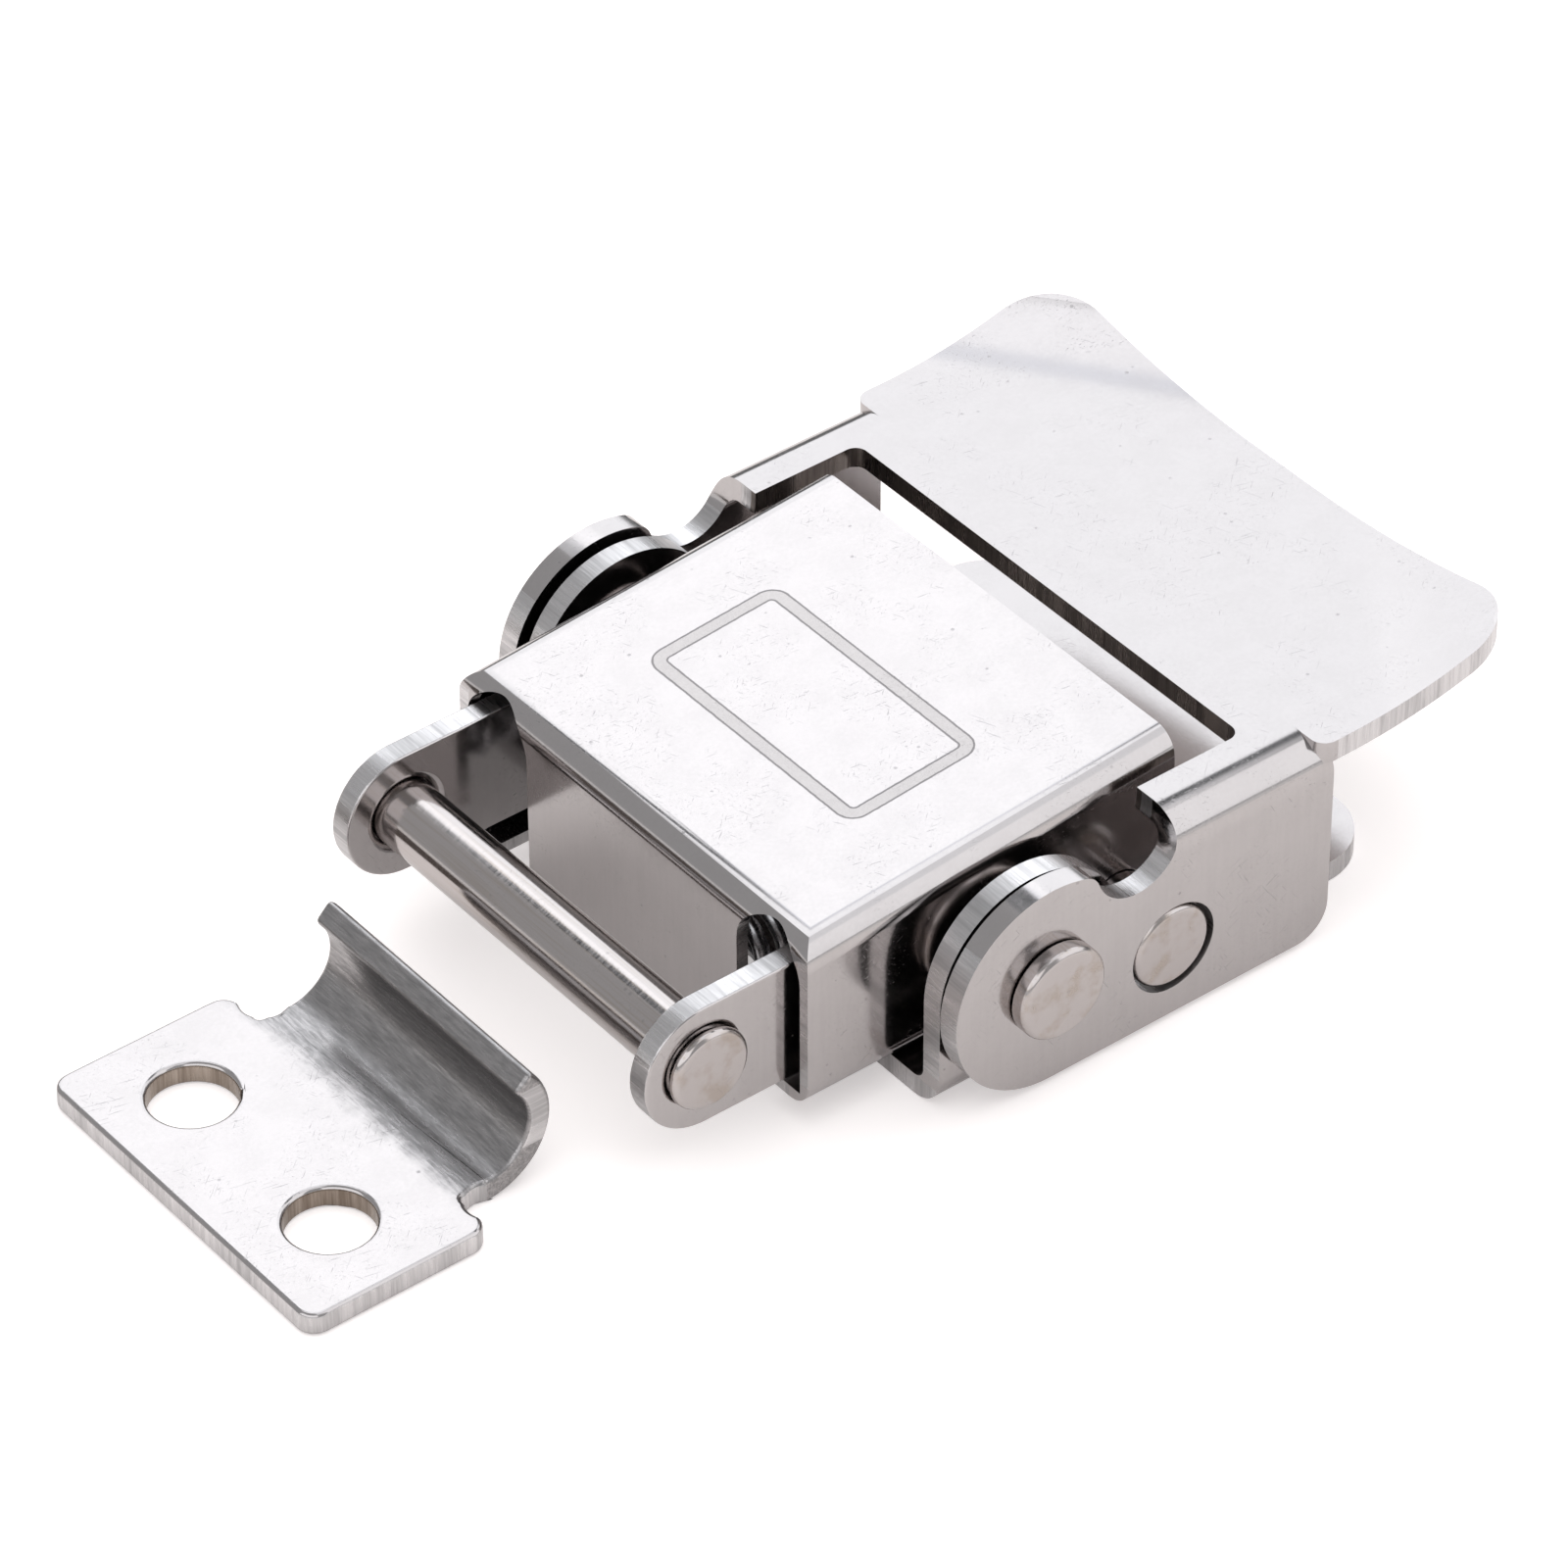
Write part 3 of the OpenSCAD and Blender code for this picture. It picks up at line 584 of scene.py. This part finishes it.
def area_lamp(name, place, aim, size, radiance):
    """A rectangular soft lamp for the floor; the steel sees the studio cards in its stead."""
    lamp = bpy.data.lights.new(name, "AREA")
    lamp.shape = "RECTANGLE"
    lamp.size, lamp.size_y = size
    lamp.energy = radiance * size[0] * size[1]
    obj = bpy.data.objects.new(name, lamp)
    obj.location = place
    obj.rotation_mode = "QUATERNION"
    obj.rotation_quaternion = (Vector(aim) - Vector(place)).to_track_quat("-Z", "Y")
    obj.visible_glossy = False
    bpy.context.scene.collection.objects.link(obj)


CARD_COLUMNS, CARD_ROWS = 49, 25
CARD_LIFT = 0.05 * MM


def studio_card(name, grid, radiance, colour):
    """A glowing card that only reflections see; grid is an array of rows of points."""
    rows, columns = grid.shape[:2]
    index = np.arange(rows * columns).reshape(rows, columns)
    faces = np.stack([index[:-1, :-1], index[:-1, 1:], index[1:, 1:], index[1:, :-1]], axis=-1).reshape(-1, 4)
    mesh = bpy.data.meshes.new(name)
    mesh.from_pydata(grid.reshape(-1, 3).tolist(), [], faces.tolist())
    card = bpy.data.objects.new(name, mesh)
    bpy.context.scene.collection.objects.link(card)
    material, w = empty_material(name)
    glow = w.node("ShaderNodeEmission", {"Color": (*colour, 1), "Strength": radiance})
    w.node("ShaderNodeOutputMaterial", {"Surface": glow.outputs[0]})
    mesh.materials.append(material)
    card.visible_camera = False
    card.visible_diffuse = False
    card.visible_shadow = False
    card.visible_transmission = False


def sky_card(name, azimuths, elevations, radius, radiance, colour):
    """A card on a sphere round the object: x = r cos e sin a, y = r cos e cos a, z = r sin e."""
    a = np.radians(np.linspace(*azimuths, CARD_COLUMNS))
    e = np.radians(np.linspace(*elevations, CARD_ROWS))
    e, a = np.meshgrid(e, a, indexing="ij")
    grid = radius * np.stack([np.cos(e) * np.sin(a), np.cos(e) * np.cos(a), np.sin(e)], axis=-1)
    studio_card(name, grid, radiance, colour)


def floor_card(name, centre, azimuths, radii, radiance, colour):
    """A card lying on the floor: x = cx + r sin a, y = cy + r cos a."""
    a = np.radians(np.linspace(*azimuths, CARD_COLUMNS))
    r = np.linspace(*radii, 2)
    r, a = np.meshgrid(r, a, indexing="ij")
    level = np.full_like(r, CARD_LIFT)
    grid = np.stack([centre[0] + r * np.sin(a), centre[1] + r * np.cos(a), level], axis=-1)
    studio_card(name, grid, radiance, colour)


def make_camera():
    azimuth, elevation, roll = (math.radians(a) for a in (AZIMUTH, ELEVATION, ROLL))
    back = Vector((math.sin(azimuth) * math.cos(elevation), -math.cos(azimuth) * math.cos(elevation),
                   math.sin(elevation)))
    level = Vector((math.cos(azimuth), math.sin(azimuth), 0))
    rise = back.cross(level)
    right = level * math.cos(roll) + rise * math.sin(roll)
    up = rise * math.cos(roll) - level * math.sin(roll)
    data = bpy.data.cameras.new("photograph")
    data.sensor_width = SENSOR
    data.lens = SENSOR * FOCAL_PIXELS / FRAME_PIXELS
    data.clip_start, data.clip_end = NEAREST, FARTHEST
    camera = bpy.data.objects.new("photograph", data)
    place = back * DISTANCE + right * AIM_RIGHT + up * AIM_UP + AIM_FROM
    camera.matrix_world = Matrix((
        (right.x, up.x, back.x, place.x),
        (right.y, up.y, back.y, place.y),
        (right.z, up.z, back.z, place.z),
        (0, 0, 0, 1)))
    bpy.context.scene.collection.objects.link(camera)
    bpy.context.scene.camera = camera


# Each card's name, azimuths and elevations in degrees, radius in metres, radiance and colour
SKY_CARDS = (
    ("grey_ceiling", (0, 360), (6, 90), 1.9, 0.52, (0.97, 0.98, 1.0)),
    ("overhead_card", (-10, 200), (58, 90), 1.7, 1.35, (0.96, 0.985, 1.02)),
    ("back_overhead_card", (0, 66), (56, 74), 1.65, 1.95, (0.96, 0.99, 1.03)),
    ("back_softbox", (-4, 86), (14, 50), 1.6, 1.87, (0.965, 1.0, 1.04)),
    ("back_softbox_core", (14, 36), (40, 50), 1.55, 2.18, (0.965, 0.995, 1.03)),
    ("side_softbox", (88, 160), (10, 60), 1.6, 1.6, (0.98, 0.99, 1.01)),
    ("front_softbox", (200, 290), (14, 50), 1.6, 1.6, (0.98, 0.99, 1.01)),
    ("dark_seam_left", (-4, 25), (50, 57), 1.5, 0.12, (0.85, 0.92, 1.0)),
    ("pale_seam", (25, 42), (50, 56), 1.5, 1.6, (0.93, 0.98, 1.06)),
    ("dark_seam_right", (42, 100), (50, 58), 1.5, 0.12, (0.85, 0.92, 1.0)),
    ("dim_horizon", (-12, 110), (0, 13), 1.45, 0.22, (0.95, 0.98, 1.0)),
)
# Each card's name, centre in metres, azimuths in degrees, radii in metres, radiance and colour
FLOOR_CARDS = (
    ("dim_far_floor", (0.0, 0.0), (-12, 110), (0.15, 1.42), 0.30, (1.0, 0.98, 0.98)),
    # A dark patch on the floor before the front wall that only reflections see: painted shade for the shaded
    # floor there
    ("painted_shade_patch", (-0.028, 0.0), (-70, -34), (0.034, 0.5), 0.12, (1.0, 0.85, 0.78)),
)

make_floor()
make_world()
area_lamp("overhead_softbox", place=(0.1, 0.15, 1.0), aim=(0, 0, 0), size=(2.4, 2.4), radiance=4.4)
for card in SKY_CARDS:
    sky_card(*card)
for card in FLOOR_CARDS:
    floor_card(*card)
make_camera()

bpy.context.scene.view_settings.view_transform = "Standard"
